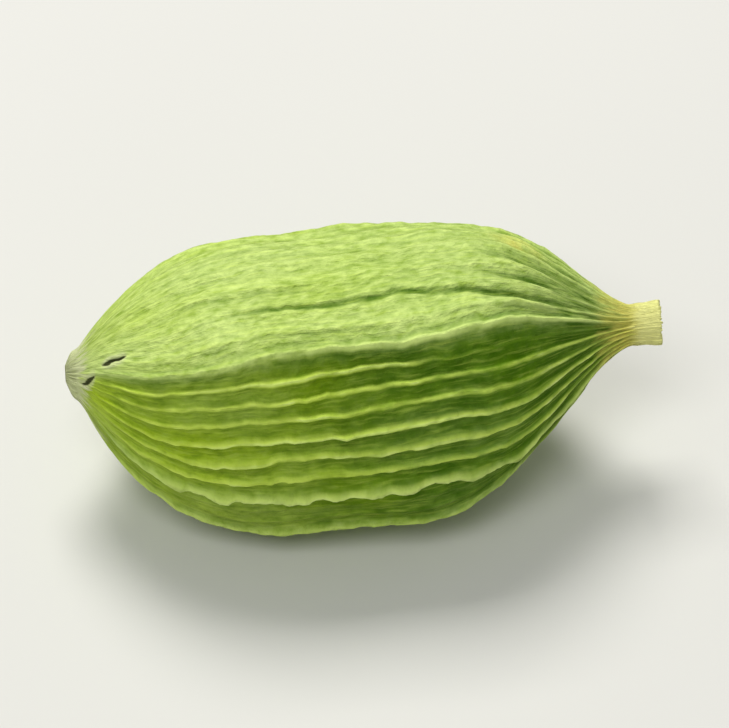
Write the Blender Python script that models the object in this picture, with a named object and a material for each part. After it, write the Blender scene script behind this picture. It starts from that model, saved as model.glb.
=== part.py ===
"""Green cardamom pod: one whole dried fruit, lying on its side.

The pod is a plump three-cornered body that grew in one piece. It tapers quickly to a short
nose at one end, and draws in to a neck that ends in a dry, hollow stub at the other. Fine ribs
run along it from end to end, and the three keels are the corners between its three faces.

+X runs from the nose to the stub, +Z is up, and -Y is the side with the ribbed front face.
An angle round the pod is counted from -Y, over the top, to +Y. The origin is on the surface
that the pod lies on, below the middle of its box.
"""

import math

import bmesh
import bpy

MM = 0.001

# Outline, as distances from the tip of the nose and radii round the middle line. The shoulder
# starts later on the side at the skew angle than on the side across from it
POD_LENGTH = 17.0 * MM
BELLY_RADIUS = 3.86 * MM
NOSE_LENGTH = 6.6 * MM
NOSE_FULLNESS = 2.75
NOSE_BLUNTNESS = 0.12 * MM
NOSE_DIMPLE = 0.15 * MM
SHOULDER_START = 9.2 * MM
SHOULDER_SKEW = 0.65 * MM
SHOULDER_SKEW_ANGLE = 136.0
SHOULDER_END = 16.5 * MM
SHOULDER_FULLNESS = 1.6
NECK_END = 15.9 * MM
NECK_RADIUS = 0.5 * MM

# The middle line bends up and back towards the stub, and a little towards the tip of the nose
NECK_RISE = 0.83 * MM
NECK_LEAN = 0.4 * MM
BEND_START = 9.5 * MM
BEND_END = 17.3 * MM
NOSE_RISE = 0.36 * MM
NOSE_BEND_LENGTH = 3.0 * MM

# Keels, in degrees round the pod: the front one above, the back one, the front one below
KEEL_ANGLES = (49.5, 203.0, 321.0)
KEEL_HEIGHT = 0.17
KEEL_WIDTH = 25.0
KEEL_ROUNDING = 4.0
TWIST = 9.0
TWIST_START = 3.0 * MM
TWIST_END = 14.0 * MM

# Ribs on the top, under and front faces, each face counted from one keel to the next, with the
# rib heights where each face starts and ends. One rib low on the front face stands out
RIBS_ON_FACE = (15, 13, 10)
RIB_HEIGHT = ((0.06 * MM, 0.16 * MM), (0.15 * MM, 0.13 * MM), (0.22 * MM, 0.22 * MM))
KEEL_RIB_HEIGHT = 0.22 * MM
STRONG_RIB_PLACE = 3
STRONG_RIB_HEIGHT = 0.36 * MM
LOW_RIB_HEIGHT = 0.08 * MM
RIB_STRAY = 0.25
RIB_STRAY_TURN = 0.63
RIB_SHARPNESS = 1.25
RIB_WANDER = 0.6
WANDER_LENGTH = 5.5 * MM

# The hollow just below the front keel, and the rib that fades out in it towards the neck
GUTTER_DEPTH = 0.22 * MM
GUTTER_WIDTH = 6.0
GUTTER_BELOW_KEEL = 10.0
FADING_RIB = 37
FADE_START = 8.5 * MM
FADE_END = 11.5 * MM

# Towards the neck the strong rib sweeps down to the lower keel: its angle, how far it moves, and
# how far below and above it the other ribs move with it
STRONG_RIB_ANGLE = 346.0
SWEEP = 14.0
SWEEP_REACH = (26.0, 55.0)
SWEEP_START = 10.3 * MM
SWEEP_END = 13.3 * MM

# Broad, shallow lumps left by drying, as waves: the height of each, how many times it comes
# round the pod, its length along the pod, and its phase
LUMP_WAVES = (
    (0.06 * MM, 2, 8.0 * MM, 3.1),
    (0.04 * MM, 3, 6.5 * MM, 5.2),
    (0.03 * MM, 5, 5.0 * MM, 4.0),
)

# The dry stub at the end of the neck: distances from the tip of the nose, and radii
STUB_PROFILE = (
    (16.05 * MM, 0.60 * MM),
    (16.35 * MM, 0.58 * MM),
    (16.65 * MM, 0.60 * MM),
    (16.88 * MM, 0.65 * MM),
    (17.00 * MM, 0.59 * MM),
    (16.99 * MM, 0.44 * MM),
    (16.70 * MM, 0.27 * MM),
)
STUB_HOLLOW_DEPTH = 0.36 * MM
STUB_LUMPINESS = 0.05

# The small flat spot that the pod lies on
FLAT_DEPTH = 0.14 * MM

# Mesh: columns from one rib to the next, and rings from the nose to the end of the neck. Rings
# near the two ends have a half, and then a quarter, of the columns
COLUMNS_PER_RIB = 4
BODY_RINGS = 31
HALF_COLUMNS_OUTSIDE = (1.4 * MM, 14.3 * MM)
QUARTER_COLUMNS_OUTSIDE = (0.6 * MM, 15.3 * MM)

SKIN_COLOUR = (0.36, 0.50, 0.10, 1.0)
SKIN_ROUGHNESS = 0.6


def smooth_step(start, end, value):
    """0 before start, 1 after end, and a smooth rise between them."""
    share = min(1.0, max(0.0, (value - start) / (end - start)))
    return share * share * (3.0 - 2.0 * share)


def body_radius(x, angle):
    """Radius of the smooth body, before keels and ribs, at a distance x from the nose's tip."""
    nose = max(0.0, 1.0 - (x + NOSE_BLUNTNESS) / NOSE_LENGTH) ** NOSE_FULLNESS
    start = SHOULDER_START + SHOULDER_SKEW * math.cos(math.radians(angle - SHOULDER_SKEW_ANGLE))
    share = min(1.0, max(0.0, (x - start) / (SHOULDER_END - start)))
    drawn_in = math.sin(math.pi / 2.0 * share**SHOULDER_FULLNESS) ** 2
    return BELLY_RADIUS * (1.0 - nose) - (BELLY_RADIUS - NECK_RADIUS) * drawn_in


def middle_line(x):
    """(y, z) of the middle line at a distance x from the nose's tip."""
    neck = smooth_step(BEND_START, BEND_END, x)
    nose = max(0.0, 1.0 - x / NOSE_BEND_LENGTH) ** 2
    return NECK_LEAN * neck, NECK_RISE * neck + NOSE_RISE * nose


def rib_crests():
    """(angle in degrees, height in metres) of every rib, round the pod from the first keel."""
    crests = []
    for face, count in enumerate(RIBS_ON_FACE):
        start = KEEL_ANGLES[face]
        span = (KEEL_ANGLES[(face + 1) % 3] - start) % 360.0
        for place in range(count):
            number = len(crests)
            if place == 0:
                crests.append((start, KEEL_RIB_HEIGHT))
                continue
            stray = -RIB_STRAY * math.cos(RIB_STRAY_TURN * number)
            first, last = RIB_HEIGHT[face]
            height = first + (last - first) * place / count
            height *= 0.8 + 0.3 * math.sin(1.9 * number)
            if face == 2 and place <= STRONG_RIB_PLACE:
                height = STRONG_RIB_HEIGHT if place == STRONG_RIB_PLACE else LOW_RIB_HEIGHT
            crests.append((start + span * (place + stray) / count, height))
    return crests


def keel_factor(angle):
    """How far the three keels push the section out, as a share of the body's radius."""
    total = 0.0
    for keel in KEEL_ANGLES:
        away = abs((angle - keel + 180.0) % 360.0 - 180.0)
        away = math.hypot(away, KEEL_ROUNDING) - KEEL_ROUNDING
        total += KEEL_HEIGHT * math.exp(-away / KEEL_WIDTH)
    return 1.0 + total


def gutter(angle, x):
    """Depth of the hollow that runs just below the front keel, deepest towards the neck."""
    away = (angle - KEEL_ANGLES[0] + GUTTER_BELOW_KEEL + 180.0) % 360.0 - 180.0
    along = 0.45 + 0.55 * smooth_step(6.0 * MM, 13.0 * MM, x)
    return GUTTER_DEPTH * along * math.exp(-((away / GUTTER_WIDTH) ** 2))


def lumps(angle, x):
    """Height of the drying lumps at one place on the skin."""
    total = 0.0
    for height, around, length, phase in LUMP_WAVES:
        turn = math.radians(around * angle) + 2.0 * math.pi * x / length + phase
        total += height * math.sin(turn)
    return total


def column_layout():
    """(angle in degrees, rib height, wander phase) of each column of the mesh.

    Columns lie on every crest, in every groove and halfway between, so that few of them carry
    the ribs exactly. The rib height is signed: positive on a crest, negative in a groove.
    """
    crests = rib_crests()
    columns = []
    for number, (angle, height) in enumerate(crests):
        next_angle, next_height = crests[(number + 1) % len(crests)]
        gap = (next_angle - angle) % 360.0
        for step in range(COLUMNS_PER_RIB):
            share = step / COLUMNS_PER_RIB
            crest = (0.5 + 0.5 * math.cos(2.0 * math.pi * share)) ** RIB_SHARPNESS
            local = height + (next_height - height) * share
            columns.append((angle + gap * share, local * (crest - 0.5), number + share))
    return columns


def swept(angle, x):
    """A column's angle, moved down where the strong rib sweeps towards the lower keel."""
    away = (angle - STRONG_RIB_ANGLE + 180.0) % 360.0 - 180.0
    reach = SWEEP_REACH[0] if away < 0.0 else SWEEP_REACH[1]
    share = max(0.0, 1.0 - abs(away) / reach)
    return angle - SWEEP * share * smooth_step(SWEEP_START, SWEEP_END, x)


def surface_point(x, column):
    """The skin's point (x, y, z) at a distance x from the nose's tip, on one column."""
    angle, rib, number = column
    angle = swept(angle, x)
    radius = body_radius(x, angle)
    slimness = radius / BELLY_RADIUS
    keels = 1.0 + (keel_factor(angle) - 1.0) * smooth_step(0.12, 0.45, slimness)
    fading = max(0.0, 1.0 - abs(number - FADING_RIB)) * smooth_step(FADE_START, FADE_END, x)
    ribs = rib * (1.0 - fading) * slimness**0.7 * smooth_step(0.3 * MM, 2.6 * MM, x)
    broad = (lumps(angle, x) - gutter(angle, x)) * slimness * smooth_step(1.0 * MM, 4.0 * MM, x)
    out = radius * keels + ribs + broad
    wander = RIB_WANDER * math.sin(2.0 * math.pi * x / WANDER_LENGTH + 1.3 * number)
    turned = math.radians(angle + wander * slimness + TWIST * smooth_step(TWIST_START, TWIST_END, x))
    y, z = middle_line(x)
    return x, y - out * math.cos(turned), z + out * math.sin(turned)


def bridge(bm, ring, following):
    """Joins two closed rings, where one may have twice as many points as the other."""
    fine, coarse = (ring, following) if len(ring) >= len(following) else (following, ring)
    step = len(fine) // len(coarse)
    for place in range(len(coarse)):
        after = (place + 1) % len(coarse)
        passed = [fine[(place * step + i) % len(fine)] for i in range(step + 1)]
        corners = [coarse[after], coarse[place], *passed]
        bm.faces.new(corners if fine is ring else corners[::-1])


def close_end(bm, ring, point, at_nose):
    """Fans a ring to one point at the nose's tip, or at the bottom of the stub's hollow."""
    tip = bm.verts.new(point)
    for place, vertex in enumerate(ring):
        after = ring[(place + 1) % len(ring)]
        bm.faces.new((tip, after, vertex) if at_nose else (tip, vertex, after))


def ring_of_body(bm, x, columns):
    """One ring of points on the skin, at a distance x from the nose's tip."""
    step = 1
    for start, end in (HALF_COLUMNS_OUTSIDE, QUARTER_COLUMNS_OUTSIDE):
        if not start < x < end:
            step *= 2
    return [bm.verts.new(surface_point(x, column)) for column in columns[::step]]


def ring_of_stub(bm, x, radius, columns):
    """One slightly lumpy ring of points on the stub, with one point for each rib."""
    stub_y, stub_z = middle_line(x)
    ring = []
    for number, (angle, _, _) in enumerate(columns[::COLUMNS_PER_RIB]):
        lumpy = radius * (1.0 + STUB_LUMPINESS * math.sin(1.7 * number))
        turned = math.radians(angle + TWIST)
        y = stub_y - lumpy * math.cos(turned)
        z = stub_z + lumpy * math.sin(turned)
        ring.append(bm.verts.new((x, y, z)))
    return ring


def build_pod():
    """The whole pod as one closed mesh, with its flat spot on z = 0 and its box's middle over
    the origin."""
    columns = column_layout()
    bm = bmesh.new()
    turns = [math.pi * step / BODY_RINGS for step in range(BODY_RINGS)]
    rings = [ring_of_body(bm, NECK_END * (1.0 - math.cos(turn)) / 2.0, columns) for turn in turns]
    rings += [ring_of_stub(bm, x, radius, columns) for x, radius in STUB_PROFILE]
    for ring, following in zip(rings, rings[1:]):
        bridge(bm, ring, following)
    close_end(bm, rings[0], (NOSE_DIMPLE, *middle_line(0.0)), at_nose=True)
    hollow = (POD_LENGTH - STUB_HOLLOW_DEPTH, *middle_line(POD_LENGTH))
    close_end(bm, rings[-1], hollow, at_nose=False)

    floor = min(vertex.co.z for vertex in bm.verts) + FLAT_DEPTH
    cut = bmesh.ops.bisect_plane(
        bm,
        geom=[*bm.verts, *bm.edges, *bm.faces],
        dist=0.001 * MM,
        plane_co=(0.0, 0.0, floor),
        plane_no=(0.0, 0.0, -1.0),
        clear_outer=True,
    )
    rim = [edge for edge in cut["geom_cut"] if isinstance(edge, bmesh.types.BMEdge)]
    bmesh.ops.holes_fill(bm, edges=rim)
    bmesh.ops.recalc_face_normals(bm, faces=bm.faces)

    sides = [(min(v.co[axis] for v in bm.verts), max(v.co[axis] for v in bm.verts)) for axis in (0, 1)]
    shift = (-sum(sides[0]) / 2.0, -sum(sides[1]) / 2.0, -floor)
    bmesh.ops.translate(bm, verts=bm.verts, vec=shift)
    return bm


def skin_material():
    """Dry green husk: matt, with a faint waxy sheen."""
    material = bpy.data.materials.new("green_husk")
    material.use_nodes = True
    shader = material.node_tree.nodes["Principled BSDF"]
    shader.inputs["Base Color"].default_value = SKIN_COLOUR
    shader.inputs["Roughness"].default_value = SKIN_ROUGHNESS
    shader.inputs["Metallic"].default_value = 0.0
    return material


def main():
    for obj in list(bpy.data.objects):
        bpy.data.objects.remove(obj)
    mesh = bpy.data.meshes.new("pod")
    bm = build_pod()
    bm.to_mesh(mesh)
    bm.free()
    mesh.materials.append(skin_material())
    mesh.shade_smooth()
    mesh.set_sharp_from_angle(angle=math.radians(60.0))
    bpy.context.scene.collection.objects.link(bpy.data.objects.new("pod", mesh))


main()
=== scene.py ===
"""A dried green cardamom pod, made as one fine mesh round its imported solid, on a pale floor."""

import math

import bpy
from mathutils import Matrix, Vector


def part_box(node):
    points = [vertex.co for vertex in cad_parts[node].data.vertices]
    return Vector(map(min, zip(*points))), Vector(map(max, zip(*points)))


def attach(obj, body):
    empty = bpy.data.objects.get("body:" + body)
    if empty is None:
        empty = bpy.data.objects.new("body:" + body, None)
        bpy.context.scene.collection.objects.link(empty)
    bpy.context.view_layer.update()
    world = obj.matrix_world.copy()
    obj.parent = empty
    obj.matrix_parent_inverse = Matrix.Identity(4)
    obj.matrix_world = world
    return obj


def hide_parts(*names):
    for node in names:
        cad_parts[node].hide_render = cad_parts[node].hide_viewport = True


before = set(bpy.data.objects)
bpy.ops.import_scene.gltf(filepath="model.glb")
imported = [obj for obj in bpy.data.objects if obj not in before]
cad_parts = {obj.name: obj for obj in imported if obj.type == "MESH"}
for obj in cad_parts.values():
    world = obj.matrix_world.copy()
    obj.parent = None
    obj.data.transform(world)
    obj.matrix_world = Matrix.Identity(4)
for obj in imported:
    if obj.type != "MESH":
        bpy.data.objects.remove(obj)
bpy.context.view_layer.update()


# The husk
# The pod's dry outer wall: a plump three-cornered fruit wall of papery plant fibre, which grew in
# one piece with the neck and the stub where it hung. Ribs run along it from end to end, the three
# keels are its corners, and drying has left it crinkled, with a torn rim at the nose.

MM = 0.001

# Sizes along the pod and round its middle line, in millimetres, all named inputs of the tree
HUSK_SIZES = {
    "Body Length": 15.9,
    "Stub Length": 1.1,
    "Stub Radius": 0.6,
    "Stub Hollow": 0.5,
    "Belly Radius": 3.86,
    "Neck Radius": 0.5,
    "Nose Length": 6.6,
    "Nose Bluntness": 0.12,
    "Nose Dimple": 0.15,
    "Nose Rise": 0.36,
    "Shoulder Start": 9.2,
    "Shoulder Skew": 0.65,
    "Shoulder End": 16.5,
    "Neck Rise": 0.83,
    "Neck Lean": 0.4,
    "Keel Height": 0.17,
    "Gutter Depth": 0.22,
    "Crease Depth": 0.13,
    "Front Rib Height": 0.27,
    "Low Rib Height": 0.06,
    "Under Rib Height": 0.14,
    "Back Rib Height": 0.17,
    "Top Rib Height": 0.06,
    "Keel Rib Height": 0.27,
    "Strong Rib Height": 0.36,
    "Crinkle": 0.045,
}
HUSK_SEED = 7.0
RINGS = 262
COLUMNS = 356

# The columns lie closer together round the front of the pod, by this share, than at the back
FRONT_TURN = 0.29
FRONT_CROWDING = 0.3

# Shares of the rings that lie in the nose's dimple, on the body and on the stub, and how much
# closer together they lie at the body's two ends
DIMPLE_SHARE = 0.035
BODY_SHARE = 0.845
STUB_SHARE = 1.0 - DIMPLE_SHARE - BODY_SHARE
END_CROWDING = 0.35

# How quickly the nose and the shoulder draw in, and where the middle line bends, in millimetres
NOSE_POWER = 2.75
SHOULDER_POWER = 1.6
NOSE_BEND_END = 3.0
NECK_BEND = (9.5, 17.3)

# The three keels, in degrees round the pod from the front over the top, the side where the
# shoulder starts last, the twist from end to end, and the hollow just below the front keel
KEEL_ANGLES = (49.5, 203.0, 321.0)
KEEL_WIDTH = 25.0
KEEL_ROUNDING = 4.0
SKEW_ANGLE = 136.0
TWIST = 9.0
GUTTER_BELOW_KEEL = 10.0
GUTTER_HALF_WIDTH = 6.0

# The ribs on each face, how far they stray from an even spacing, and the number of the strong rib
# and of the one that fades out, counted from the front keel over the top
RIBS_ON_FACE = (15, 13, 10)
RIB_STRAY = 0.25
RIB_STRAY_TURN = 0.63
STRONG_RIB = 31
FADING_RIB = 37

# Towards the neck the strong rib sweeps down to the lower keel, and takes its neighbours along:
# its angle, how far it moves, and how far below and above it the husk moves with it, in degrees
STRONG_RIB_ANGLE = 346.0
SWEEP = 14.0
SWEEP_REACH = (26.0, 55.0)

# Each rib wavers along its length: degrees of slow and of quick wavering, of the droop of the
# front ribs near the nose and how far round it reaches, and of a regular wander
SLOW_WAVER = 2.8
QUICK_WAVER = 4.0
NOSE_DROOP = 4.5
DROOP_HALF_WIDTH = 50.0
WANDER = 0.6
WANDER_LENGTH = 5.5
WANDER_TURN = 2.0 * math.pi * 8.0 / sum(RIBS_ON_FACE)

# Creases in the smooth upper face above the front keel: degrees round, degrees gained per mm past
# the bend, where along the pod each one starts and ends, and how deep it is
CREASES = (
    (69.5, -2.4, 3.0, 15.3, 1.0),
    (83.0, -3.0, 10.2, 15.4, 0.8),
    (97.0, -3.4, 11.4, 15.6, 0.8),
    (57.0, 0.0, 2.2, 9.4, 0.4),
    (78.0, 0.0, 1.4, 7.6, 0.3),
)
CREASE_BEND = 9.5
CREASE_FADE_IN = 3.6
CREASE_HALF_WIDTH = 0.09

# Broad lumps left by drying, as waves: height, times round the pod, length along it and phase
LUMP_WAVES = ((0.06, 2.0, 8.0, 3.1), (0.04, 3.0, 6.5, 5.2), (0.03, 5.0, 5.0, 4.0))

# Slits where the dry husk has split near the nose, painted dark as shade in the finish: degrees round,
# degrees gained per mm, mm along, half length and depth. The first two are the largest
SLITS = (
    (60.0, 9.0, 1.40, 0.42, 0.19),
    (39.0, 45.0, 0.66, 0.24, 0.17),
    (112.0, -12.0, 0.75, 0.36, 0.07),
    (168.0, 8.0, 0.62, 0.30, 0.05),
    (214.0, -8.0, 1.05, 0.46, 0.09),
    (262.0, 10.0, 0.70, 0.32, 0.06),
    (326.0, 10.0, 0.85, 0.40, 0.08),
)
SLIT_HALF_WIDTH = 0.05
LIP_HEIGHT = 0.3

# The stub's rings run out along the tube, in over its torn end, down the hollow and across the
# hollow's bottom. The flare, the wall's thickness and the ridges are shares of the stub's radius
TUBE_END_SHARE = 0.42
HOLLOW_BOTTOM_SHARE = 0.82
STUB_FLARE = 0.08
STUB_WALL = 0.4
STUB_RIDGES = 0.22

# Relief, in millimetres, that the finish shows as a full groove or crest, and as a full slit: grooves
# are painted dark partly as shade, slits as shade, and crests pale partly as a highlight
FULL_GROOVE = 0.26
FULL_SLIT = 0.13

# Radius used to measure distances round the pod, so that one pattern fits along and across
GRAIN_RADIUS = 4.0


class Wire:
    """An output socket in a node tree. Python's operators on it add the Math nodes they need."""

    def __init__(self, tree, socket=None):
        self.tree = tree
        self.socket = socket

    def node(self, kind, settings=None, inputs=None):
        """Adds any node: its type, its settings, which are set first, then its sockets."""
        made = self.tree.nodes.new(kind)
        for name, value in (settings or {}).items():
            setattr(made, name, value)
        for name, value in (inputs or {}).items():
            socket = made.inputs[name]
            if isinstance(name, str):
                socket = next(s for s in made.inputs if s.name == name and s.enabled)
            if isinstance(value, Wire):
                self.tree.links.new(value.socket, socket)
            else:
                socket.default_value = value
        outputs = [s for s in made.outputs if s.enabled]
        return Wire(self.tree, outputs[0] if outputs else None)

    def also(self, name):
        """Another output of the node that this one comes from."""
        found = next(s for s in self.socket.node.outputs if s.name == name and s.enabled)
        return Wire(self.tree, found)

    def maths(self, operation, *others):
        values = dict(enumerate((self, *others)))
        return self.node("ShaderNodeMath", {"operation": operation}, values)

    def __add__(self, other):
        return self.maths("ADD", other)

    def __sub__(self, other):
        return self.maths("SUBTRACT", other)

    def __rsub__(self, other):
        return self.maths("MULTIPLY_ADD", -1.0, other)

    def __mul__(self, other):
        return self.maths("MULTIPLY", other)

    def __truediv__(self, other):
        return self.maths("DIVIDE", other)

    def __pow__(self, other):
        return self.maths("POWER", other)

    def __mod__(self, other):
        return self.maths("FLOORED_MODULO", other)

    def __abs__(self):
        return self.maths("ABSOLUTE")

    def clamp(self):
        return self.maths("MAXIMUM", 0.0).maths("MINIMUM", 1.0)

    def rise(self, start, end):
        """0 before start, 1 after end, and a smooth rise between them."""
        settings = {"interpolation_type": "SMOOTHSTEP"}
        inputs = {"Value": self, "From Min": start, "From Max": end}
        return self.node("ShaderNodeMapRange", settings, inputs)

    def hump(self, centre, half_width):
        """1 at the centre, falling off like a bell."""
        away = (self - centre) / half_width
        return (away * away * -1.0).maths("EXPONENT")


def noise(place, along, around, seed, detail=2.0):
    """Noise from -0.5 to 0.5, of so many waves a millimetre along and round the pod."""
    x, y, z = place
    vector = x.node("ShaderNodeCombineXYZ", None, {0: x * along, 1: y * around, 2: z * around})
    inputs = {"Vector": vector, "W": seed, "Scale": 1.0, "Detail": detail}
    return x.node("ShaderNodeTexNoise", {"noise_dimensions": "4D"}, inputs) - 0.5


def degrees_from(angle, centre):
    """How far an angle round the pod lies from another one, from -180 to 180 degrees."""
    return (angle - centre + 180.0) % 360.0 - 180.0


def keel_shape(angle, height):
    """How far the three keels push the section out, as a share of the body's radius."""
    total = 0.0
    for keel in KEEL_ANGLES:
        away = degrees_from(angle, keel)
        away = (away * away + KEEL_ROUNDING**2).maths("SQRT") - KEEL_ROUNDING
        total = (away / -KEEL_WIDTH).maths("EXPONENT") * height + total
    return total


def rib_count(angle):
    """The number of ribs passed, from the front keel over the top to the front keel again."""
    turned = (angle - KEEL_ANGLES[0]) % 360.0
    count = 0.0
    start = 0.0
    for face, ribs in enumerate(RIBS_ON_FACE):
        span = (KEEL_ANGLES[(face + 1) % 3] - KEEL_ANGLES[face]) % 360.0
        count = ((turned - start) / span).clamp() * float(ribs) + count
        start += span
    return count


def husk_tree(material):
    """The tree that makes the husk from a grid of rings and columns. It works in millimetres."""
    tree = bpy.data.node_groups.new("cardamom_husk", "GeometryNodeTree")
    tree.interface.new_socket("Geometry", in_out="OUTPUT", socket_type="NodeSocketGeometry")
    for name, value in HUSK_SIZES.items():
        socket = tree.interface.new_socket(name, in_out="INPUT", socket_type="NodeSocketFloat")
        socket.default_value = value
    tree.interface.new_socket("Nose Tip", in_out="INPUT", socket_type="NodeSocketVector")
    tree.interface.new_socket("Seed", in_out="INPUT", socket_type="NodeSocketFloat")
    given = Wire(tree).node("NodeGroupInput")
    size = {name: given.also(name) for name in HUSK_SIZES}
    seed = given.also("Seed")

    # Where each grid point goes: rings along the pod, columns round it from underneath
    grid_sizes = {"Size X": 1.0, "Size Y": 1.0, "Vertices X": RINGS, "Vertices Y": COLUMNS}
    grid = given.node("GeometryNodeMeshGrid", None, grid_sizes)
    spot = given.node("ShaderNodeSeparateXYZ", None, {0: given.node("GeometryNodeInputPosition")})
    ring = spot + 0.5
    turn = spot.also("Y") + 0.5
    crowded = ((turn - FRONT_TURN) * (2.0 * math.pi)).maths("SINE") * (FRONT_CROWDING / (2.0 * math.pi))
    column = (turn - crowded) * 360.0 - 90.0
    in_dimple = 1.0 - (ring / DIMPLE_SHARE).clamp()
    on_body = ((ring - DIMPLE_SHARE) / BODY_SHARE).clamp()
    on_stub = ((ring - DIMPLE_SHARE - BODY_SHARE) / STUB_SHARE).clamp()

    # Distance along the pod, with the rings closer together towards its two ends
    crowding = (on_body * (2.0 * math.pi)).maths("SINE") * (END_CROWDING / (2.0 * math.pi))
    x_body = size["Body Length"] * (on_body - crowding)
    stub_out = (on_stub / TUBE_END_SHARE).clamp() * size["Stub Length"]
    hollow = on_stub.rise(0.58, 0.9) * size["Stub Hollow"]
    along = x_body + stub_out

    # The sweep near the neck, which moves whole columns
    away = degrees_from(column, STRONG_RIB_ANGLE)
    swept = (away / SWEEP_REACH[0] + 1.0).maths("MINIMUM", 1.0 - away / SWEEP_REACH[1])
    swept = swept.maths("MAXIMUM", 0.0) * along.rise(10.3, 13.3)
    angle = column - swept * SWEEP

    # The smooth body
    nose = (1.0 - (along + size["Nose Bluntness"]) / size["Nose Length"]).maths("MAXIMUM", 0.0)
    nose = nose**NOSE_POWER
    lean = ((angle - SKEW_ANGLE) * (math.pi / 180.0)).maths("COSINE")
    shoulder = size["Shoulder Skew"] * lean + size["Shoulder Start"]
    share = ((along - shoulder) / (size["Shoulder End"] - shoulder)).clamp()
    drawn_in = ((share**SHOULDER_POWER) * (math.pi / 2.0)).maths("SINE") ** 2.0
    body = size["Belly Radius"] * (1.0 - nose) - (size["Belly Radius"] - size["Neck Radius"]) * drawn_in
    slim = body / size["Belly Radius"]
    keels = keel_shape(angle, size["Keel Height"]) * slim.rise(0.12, 0.45) + 1.0

    # A place on the husk that the grain of the noise follows, without a seam and along the ribs
    radians = column * (math.pi / 180.0)
    place = (along, radians.maths("COSINE") * GRAIN_RADIUS, radians.maths("SINE") * GRAIN_RADIUS)
    end_on = (along * 0.0, place[1], place[2])

    # The ribs: each crest keeps to its columns, and strays a little from an even spacing
    total_ribs = float(sum(RIBS_ON_FACE))
    first_under = float(RIBS_ON_FACE[0])
    first_front = float(RIBS_ON_FACE[0] + RIBS_ON_FACE[1])
    count = rib_count(column)
    to_keel = count.maths("MINIMUM", total_ribs - count)
    to_keel = to_keel.maths("MINIMUM", abs(count - first_under))
    to_keel = to_keel.maths("MINIMUM", abs(count - first_front)).maths("MINIMUM", 1.0)
    phase = (count * RIB_STRAY_TURN).maths("COSINE") * RIB_STRAY * to_keel + count
    crest_number = phase.maths("ROUND")
    off_crest = phase - crest_number
    is_strong = 1.0 - abs(crest_number - float(STRONG_RIB)).maths("MINIMUM", 1.0)
    is_fading = 1.0 - abs(crest_number - float(FADING_RIB)).maths("MINIMUM", 1.0)
    is_low = phase.rise(first_front + 0.2, first_front + 0.8)
    is_low = is_low * (1.0 - phase.rise(STRONG_RIB - 0.8, STRONG_RIB - 0.4))
    is_keel = 1.0 - (crest_number % total_ribs).maths("MINIMUM", 1.0)
    top = 1.0 - count.rise(first_under - 0.6, first_under + 0.4)
    front = count.rise(first_front - 0.4, first_front + 0.6)
    near_keel = (1.0 - count * 2.0).maths("MAXIMUM", 0.0)

    # Each crest varies in height. It is broad on the top, thinner behind, and thinnest in front
    behind = (count / first_under).clamp()
    sharpness = behind * 0.9 + front * 0.3 + near_keel * 1.2 + is_strong * 1.4 + 1.8
    crest = ((off_crest * (2.0 * math.pi)).maths("COSINE") * 0.5 + 0.5) ** sharpness
    on_top = size["Top Rib Height"] * (along.rise(11.0, 13.5) * 1.6 + 1.0)
    on_top = on_top + (size["Back Rib Height"] - on_top) * behind
    base = size["Under Rib Height"]
    base = base + (on_top - size["Under Rib Height"]) * top
    base = base + (size["Front Rib Height"] - size["Under Rib Height"]) * front
    base = base + (size["Front Rib Height"] - size["Top Rib Height"]) * near_keel
    height = base * ((crest_number * 1.9).maths("SINE") * 0.22 + 0.92)
    height = height + (size["Low Rib Height"] - height) * is_low
    height = height + (size["Strong Rib Height"] - height) * is_strong
    height = height + (size["Keel Rib Height"] - height) * is_keel
    height = height * (1.0 - is_fading * along.rise(8.5, 11.5))
    height = height * (noise(place, 1.4, 0.9, seed + 2.0, detail=3.0) * 2.0 + 1.0)
    fade = slim.maths("MAXIMUM", 0.0) ** 0.7 * along.rise(0.1, 1.7)
    ribs = (crest * height - base * (front * 0.2 + 0.5)) * fade

    # The hollow below the front keel, the creases above it, and the broad lumps left by drying
    below_keel = degrees_from(angle, KEEL_ANGLES[0] - GUTTER_BELOW_KEEL)
    gutter = below_keel.hump(0.0, GUTTER_HALF_WIDTH) * size["Gutter Depth"]
    gutter = gutter * (along.rise(6.0, 13.0) * 0.55 + 0.45)
    creased = 0.0
    past_bend = (along - CREASE_BEND).maths("MAXIMUM", 0.0)
    straying = noise(place, 0.8, 0.2, seed + 11.0) * 6.0
    for degrees, gain, start, end, depth in CREASES:
        line = past_bend * gain + straying + degrees
        across = degrees_from(angle, line) * (math.pi / 180.0) * body
        length = along.rise(start, start + CREASE_FADE_IN) * (1.0 - along.rise(end - 1.2, end))
        creased = across.hump(0.0, CREASE_HALF_WIDTH) * length * depth + creased
    creased = creased * (noise(place, 1.2, 0.6, seed + 12.0) * 1.5 + 1.0).clamp()
    lumps = 0.0
    for lump, around, length, start in LUMP_WAVES:
        wave = radians * around + along * (2.0 * math.pi / length) + start
        lumps = wave.maths("SINE") * lump + lumps
    broad = (lumps - gutter) * slim * along.rise(1.0, 4.0) - creased * size["Crease Depth"]

    # Fine crinkles: threads along the fibres, beads on the crests and creases across the grooves
    threads = noise(place, 0.7, 4.6, seed + 3.0, detail=4.0) * 1.7
    beads = noise(place, 2.2, 1.8, seed + 4.0, detail=3.0) * (crest * 1.8 + 0.7) * (1.0 - top * 0.5)
    folds = noise(place, 3.0, 1.4, seed + 5.0, detail=3.0) * (1.0 - crest) * (front * 1.4 + 0.3)
    fine = (threads + beads + folds) * size["Crinkle"] * slim.rise(0.05, 0.4)

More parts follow.
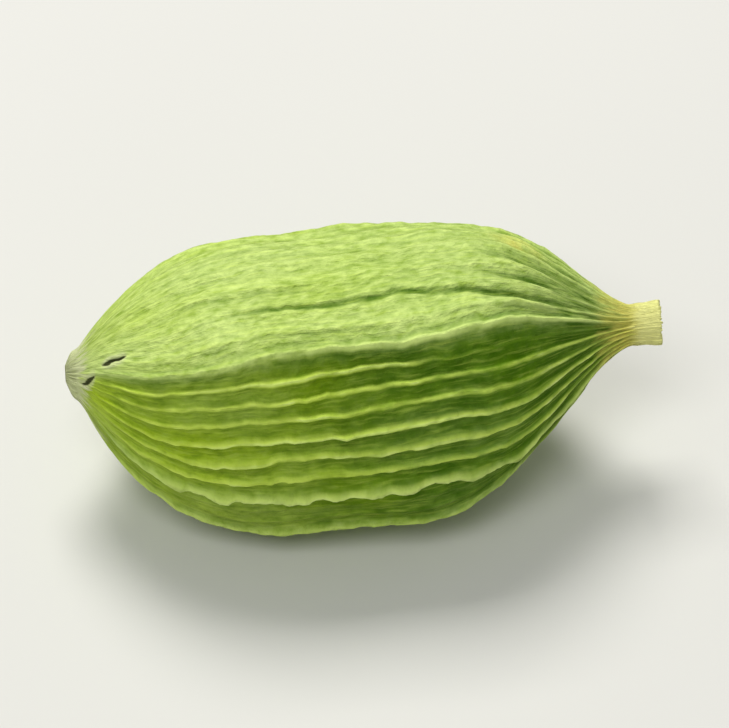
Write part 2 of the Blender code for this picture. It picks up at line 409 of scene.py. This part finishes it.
    # The torn rim at the nose, and the slits where the dry valves part
    ragged = noise(end_on, 1.0, 2.3, seed + 6.0, detail=3.0)
    rim = along.hump(0.18, 0.15) * (ragged * 0.8 + 0.1)
    slits = 0.0
    lips = 0.0
    torn_edge = noise(place, 4.0, 1.5, seed + 7.0, detail=3.0) * 0.2
    for degrees, gain, centre, half_length, depth in SLITS:
        line = (along - centre) * gain + degrees
        slope = body * (gain * math.pi / 180.0)
        across = degrees_from(angle, line) * (math.pi / 180.0) * body
        across = across / (slope * slope + 1.0).maths("SQRT") + torn_edge
        length = (1.0 - ((along - centre) / half_length) ** 2.0).maths("MAXIMUM", 0.0)
        slits = across.hump(0.0, SLIT_HALF_WIDTH) * length * depth + slits
        lips = across.hump(0.0, SLIT_HALF_WIDTH * 3.0) * length * depth + lips
    out_body = body * keels + ribs + broad + fine + rim - slits + lips * LIP_HEIGHT

    # The stub: a short dry tube with a ragged, slightly flared end, then its hollow, then the
    # hollow's bottom, which closes to a point
    fibres = noise(end_on, 1.0, 3.2, seed + 8.0, detail=2.0)
    wall = on_stub.rise(0.22, 0.4) * STUB_FLARE - on_stub.rise(0.4, 0.62) * STUB_WALL + 1.0
    closing = ((on_stub - HOLLOW_BOTTOM_SHARE) / (1.0 - HOLLOW_BOTTOM_SHARE)).clamp()
    wall = wall * size["Stub Radius"] * (1.0 - closing)
    wall = wall * (fibres * STUB_RIDGES + 1.0) * (noise(place, 1.5, 0.5, seed + 9.0) * 0.1 + 1.0)
    on_tube = on_stub.rise(0.0, 0.16)
    out = (out_body + (wall - out_body) * on_tube) * (1.0 - in_dimple)
    torn = noise(end_on, 1.0, 2.2, seed + 10.0) * 0.3 - 0.06
    torn = torn * on_stub.rise(0.2, 0.42) * (1.0 - on_stub.rise(0.62, 0.95))
    x = along - hollow + torn.maths("MINIMUM", 0.0) + in_dimple * size["Nose Dimple"]

    # Every column wavers along the pod, as its rib does
    wander = (along * (2.0 * math.pi / WANDER_LENGTH) + count * WANDER_TURN).maths("SINE") * WANDER
    waver = noise(place, 0.4, 0.6, seed) * SLOW_WAVER
    waver = waver + noise(place, 1.3, 0.9, seed + 1.0) * QUICK_WAVER
    waver = (wander + waver) * slim * along.rise(0.5, 2.5)
    droop = degrees_from(angle, KEEL_ANGLES[0]).hump(0.0, DROOP_HALF_WIDTH) * NOSE_DROOP
    waver = waver - droop * along.rise(0.4, 2.6) * (1.0 - along.rise(1.8, 5.6))
    turned = (angle + waver + along.rise(3.0, 14.0) * TWIST) * (math.pi / 180.0)

    # The bent middle line carries every ring, and the underside is flat where the pod lies
    bend = along.rise(*NECK_BEND)
    nose_bend = (1.0 - along / NOSE_BEND_END).maths("MAXIMUM", 0.0) ** 2.0
    y = size["Neck Lean"] * bend - out * turned.maths("COSINE")
    z = size["Neck Rise"] * bend + size["Nose Rise"] * (nose_bend - 1.0) + out * turned.maths("SINE")
    tip = given.node("ShaderNodeSeparateXYZ", None, {0: given.also("Nose Tip")})
    lowest = (tip.also("Z") + z * MM).maths("MAXIMUM", 0.0)
    across = tip.also("Y") + y * MM
    point = given.node("ShaderNodeCombineXYZ", None, {0: tip + x * MM, 1: across, 2: lowest})

    # What the finish needs to know at each point is stored on the mesh
    grain = given.node("ShaderNodeCombineXYZ", None, {0: place[0], 1: place[1], 2: place[2]})
    # Groove mask: the grooves' darker green plus painted shade in the rib hollows, the gutter below the
    # keel, the creases and the valleys near the neck
    hollows = (1.0 - crest) * base * fade + gutter * slim.rise(0.1, 0.5) * 0.7 + creased * 0.34
    groove_and_shade = hollows / FULL_GROOVE + (1.0 - crest) * along.rise(12.0, 14.6) * 0.45
    # Crest mask: the crests' paler fibre plus a painted highlight, brighter towards the neck and, once
    # stored, fainter on the keel near the nose
    pale_crest_and_highlight = crest * (height / FULL_GROOVE).clamp() * (fade + along.rise(12.0, 14.6) * 0.5)
    in_front = front * (1.0 - count.rise(total_ribs - 0.7, total_ribs))
    stored = {
        "grain": grain,
        "crest": pale_crest_and_highlight * (1.0 - is_keel * (1.0 - along.rise(4.0, 9.0)) * 0.55),
        # The strip below the strong rib is painted dark olive as shade
        "groove_and_shade": groove_and_shade + (1.1 - groove_and_shade) * is_low,
        # The strong rib's crest counts less as front, so it takes the paler painted highlight
        "front": in_front * (1.0 - is_strong * crest * 0.7),
        # The slit mask paints shade in the slits and the nose's dimple
        "slit": (slits / FULL_SLIT + in_dimple.rise(0.35, 1.0) * 0.5).clamp(),
        "lip": (lips / FULL_SLIT).clamp(),
        "stub": on_stub,
    }
    mesh = grid
    for name, value in stored.items():
        kind = "FLOAT_VECTOR" if name == "grain" else "FLOAT"
        inputs = {"Geometry": mesh, "Name": name, "Value": value}
        mesh = given.node("GeometryNodeStoreNamedAttribute", {"data_type": kind}, inputs)
    mesh = given.node("GeometryNodeSetPosition", None, {"Geometry": mesh, "Position": point})
    mesh = given.node("GeometryNodeMergeByDistance", None, {"Geometry": mesh, "Distance": 0.001 * MM})
    mesh = given.node("GeometryNodeSetShadeSmooth", None, {0: mesh})
    mesh = given.node("GeometryNodeRealizeInstances", None, {0: mesh})
    mesh = given.node("GeometryNodeSetMaterial", None, {"Geometry": mesh, "Material": material})
    given.node("NodeGroupOutput", None, {0: mesh})
    return tree


def husk_finish():
    """Dry green husk: matt and faintly waxy, pale on the crests and dark olive in the grooves, partly
    its own colour and partly painted highlight and shade.
    """
    material = bpy.data.materials.new("green_husk")
    material.use_nodes = True
    tree = material.node_tree
    shader = tree.nodes["Principled BSDF"]
    start = Wire(tree)

    def read(name, output="Fac"):
        return start.node("ShaderNodeAttribute", {"attribute_name": name}).also(output)

    def mix(factor, first, second):
        inputs = {"Factor": factor, "A": first, "B": second}
        return start.node("ShaderNodeMix", {"data_type": "RGBA"}, inputs)

    grain = start.node("ShaderNodeSeparateXYZ", None, {0: read("grain", "Vector")})
    place = (grain, grain.also("Y"), grain.also("Z"))
    along = place[0]
    crest = read("crest").clamp()
    groove_and_shade = read("groove_and_shade").clamp()
    front = read("front")
    stub = read("stub")

    pale = (0.50, 0.65, 0.19, 1.0)
    leaf = (0.44, 0.62, 0.015, 1.0)
    shaded_leaf = (0.155, 0.32, 0.003, 1.0)
    olive = (0.045, 0.13, 0.0, 1.0)
    shade = (0.23, 0.37, 0.02, 1.0)
    light = (0.73, 0.90, 0.28, 1.0)
    edge = (0.72, 0.90, 0.15, 1.0)
    straw = (1.0, 1.0, 0.38, 1.0)
    tan = (0.84, 0.76, 0.17, 1.0)
    cream = (0.74, 0.78, 0.46, 1.0)
    dark = (0.02, 0.025, 0.004, 1.0)

    # Broad green, mottled along the fibres, then the grooves and the crests, which carry painted shade
    # and painted highlight
    patches = noise(place, 0.25, 0.45, 20.0, detail=3.0)
    # The front face leans to the deeper leaf green, partly its own tone and partly painted shade, and
    # the green darkens towards the neck as painted shade
    to_neck = along.rise(4.0, 12.0)
    colour = mix((patches * 1.4 + 0.15 + front * 0.65).clamp(), pale, mix(to_neck, leaf, shaded_leaf))
    mottle = noise(place, 3.2, 6.4, 23.0, detail=5.0)
    colour = mix((mottle * 5.0).clamp() * (0.65 - front * 0.5), colour, light)
    colour = mix((mottle * -5.0).clamp() * 0.65, colour, shade)
    broken = noise(place, 1.8, 2.0, 22.0, detail=3.0)
    # Dark olive in the grooves: partly the husk's darker green, partly painted shade
    valley_and_shade = (groove_and_shade * 1.2 - 0.25).clamp() * (broken * 1.4 + 0.8).clamp()
    colour = mix(valley_and_shade * (1.0 - front * (1.0 - to_neck) * 0.45), colour, olive)
    fibres = noise(place, 1.2, 13.0, 26.0, detail=4.0)
    colour = mix((fibres * 4.0).clamp() * 0.3, colour, edge)
    colour = mix((fibres * -4.0).clamp() * 0.3, colour, olive)
    # Pale crests: partly the husk's paler fibre, partly a painted highlight, palest on the highest
    # crests and broken into beads
    crest_and_highlight_colour = mix(front * (1.0 - (crest * 4.0 - 3.2).clamp()), light, edge)
    crest_and_highlight = (crest * 1.5 - 0.5).clamp() * (broken * 3.2 + 0.8).clamp() * 0.95
    colour = mix(crest_and_highlight, colour, crest_and_highlight_colour)

    # A rubbed golden patch on the shoulder: along the pod, across it, and on its upper side only
    frayed = noise(place, 2.0, 2.5, 24.0, detail=4.0)
    rubbed = along.hump(12.9, 0.6) * place[1].hump(-1.0, 0.6) * place[2].rise(0.0, 1.0)
    colour = mix(rubbed * (frayed * 3.0 + 0.5).clamp() * 0.8, colour, tan)

    # The two ends: cream torn nose, tan and straw neck and stub, and painted shade in the slits and the
    # nose's dimple
    at_nose = 1.0 - (along + frayed * 1.3).rise(0.35, 0.7)
    colour = mix(at_nose * 0.85, colour, cream)
    at_neck = (along + frayed * 2.4).rise(14.8, 16.2)
    colour = mix(at_neck * 0.8, colour, tan)
    at_stub = (along + frayed * 0.8).rise(15.95, 16.5)
    colour = mix(at_stub, colour, straw)
    colour = mix(stub.rise(0.6, 0.8) * 0.8, colour, tan)
    colour = mix(read("lip").rise(0.15, 0.8) * 0.5, colour, cream)
    # Painted shade in the slits and the nose's dimple
    colour = mix(read("slit").rise(0.25, 0.75) * 0.93, colour, dark)

    # Roughness and the finest relief: specks and fibres too small for the mesh
    roughness = 0.58 - crest * 0.08 + groove_and_shade * 0.12 + mottle * 0.3
    pores = noise(place, 5.0, 7.0, 25.0, detail=4.0)
    relief = (mottle * 0.06 + pores * 0.07 + fibres * 0.045) * MM
    bump = start.node("ShaderNodeBump", None, {"Strength": 1.0, "Distance": 1.0, "Height": relief})
    for name, wire in (("Base Color", colour), ("Roughness", roughness), ("Normal", bump)):
        tree.links.new(wire.socket, shader.inputs[name])
    shader.inputs["Specular IOR Level"].default_value = 0.08
    shader.inputs["Sheen Weight"].default_value = 0.14
    shader.inputs["Sheen Roughness"].default_value = 0.3
    shader.inputs["Sheen Tint"].default_value = (0.95, 1.0, 0.3, 1.0)
    return material


def nose_tip():
    """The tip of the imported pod's nose: the middle of the points at its lowest X."""
    points = [vertex.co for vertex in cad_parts["pod"].data.vertices]
    lowest = min(point.x for point in points)
    ring = [point for point in points if point.x < lowest + 0.01 * MM]
    return sum(ring, Vector()) / len(ring)


pod = bpy.data.objects.new("cardamom_pod", bpy.data.meshes.new("cardamom_pod"))
bpy.context.scene.collection.objects.link(pod)
growth = pod.modifiers.new("growth", "NODES")
growth.node_group = husk_tree(husk_finish())
sockets = {item.name: item.identifier for item in growth.node_group.interface.items_tree}
growth[sockets["Nose Tip"]] = nose_tip()
growth[sockets["Seed"]] = HUSK_SEED
graph = bpy.context.evaluated_depsgraph_get()
grown = bpy.data.meshes.new_from_object(pod.evaluated_get(graph))
pod.modifiers.remove(growth)
pod.data = grown
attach(pod, "root")
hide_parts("pod")


# The floor
# A plain pale studio floor of matt painted board, far larger than the pod that lies on it.

FLOOR_SIDE = 1.2


def floor_finish():
    material = bpy.data.materials.new("pale_floor")
    material.use_nodes = True
    tree = material.node_tree
    shader = tree.nodes["Principled BSDF"]
    start = Wire(tree)
    position = start.node("ShaderNodeTexCoord").also("Object")
    cloudy = start.node("ShaderNodeTexNoise", None, {"Vector": position, "Scale": 30.0})
    inputs = {"Factor": cloudy, "A": (0.66, 0.66, 0.64, 1.0), "B": (0.72, 0.72, 0.70, 1.0)}
    colour = start.node("ShaderNodeMix", {"data_type": "RGBA"}, inputs)
    tree.links.new(colour.socket, shader.inputs["Base Color"])
    shader.inputs["Roughness"].default_value = 0.9
    return material


half = FLOOR_SIDE / 2.0
floor_mesh = bpy.data.meshes.new("floor")
corners = [(-half, -half, 0.0), (half, -half, 0.0), (half, half, 0.0), (-half, half, 0.0)]
floor_mesh.from_pydata(corners, [], [(0, 1, 2, 3)])
floor_mesh.materials.append(floor_finish())
floor = bpy.data.objects.new("floor", floor_mesh)
bpy.context.scene.collection.objects.link(floor)


# The light and the camera
# Soft studio light: a panel above and behind the pod to the left, and a weak one in front.
# The camera looks down on the pod from the front, through a long lens.

# Each panel's name, place and side in metres, watts and colour
LAMPS = (
    ("key", (-0.02, 0.10, 0.19), 0.09, 0.37, (1.0, 0.98, 0.93)),
    ("fill", (-0.05, -0.11, 0.20), 0.10, 0.19, (1.0, 1.0, 0.98)),
)
SKY = (1.0, 1.0, 0.98, 1.0)
SKY_STRENGTH = 0.26
CAMERA_AZIMUTH = math.radians(-4.0)
CAMERA_ELEVATION = math.radians(46.0)
LENS_MM = 250.0
SENSOR_MM = 36.0
SHARE_OF_FRAME = 0.82


def look_at(thing, place, target):
    thing.location = place
    thing.rotation_euler = (target - place).to_track_quat("-Z", "Y").to_euler()


low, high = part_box("pod")
middle = (low + high) / 2.0
for name, place, side, watts, colour in LAMPS:
    lamp = bpy.data.lights.new(name, "AREA")
    lamp.size = side
    lamp.energy = watts
    lamp.color = colour
    panel = bpy.data.objects.new(name, lamp)
    bpy.context.scene.collection.objects.link(panel)
    look_at(panel, Vector(place), middle)

world = bpy.data.worlds.new("studio")
world.use_nodes = True
sky = world.node_tree.nodes["Background"]
sky.inputs["Color"].default_value = SKY
sky.inputs["Strength"].default_value = SKY_STRENGTH
bpy.context.scene.world = world
bpy.context.scene.view_settings.view_transform = "Standard"

camera = bpy.data.objects.new("camera", bpy.data.cameras.new("camera"))
bpy.context.scene.collection.objects.link(camera)
camera.data.lens = LENS_MM
camera.data.sensor_width = SENSOR_MM
camera.data.clip_start = 0.01
distance = (high.x - low.x) / SHARE_OF_FRAME * LENS_MM / SENSOR_MM
level = math.cos(CAMERA_ELEVATION)
back = Vector(
    (math.sin(CAMERA_AZIMUTH) * level, -math.cos(CAMERA_AZIMUTH) * level, math.sin(CAMERA_ELEVATION))
)
look_at(camera, middle + back * distance, middle)
bpy.context.scene.camera = camera
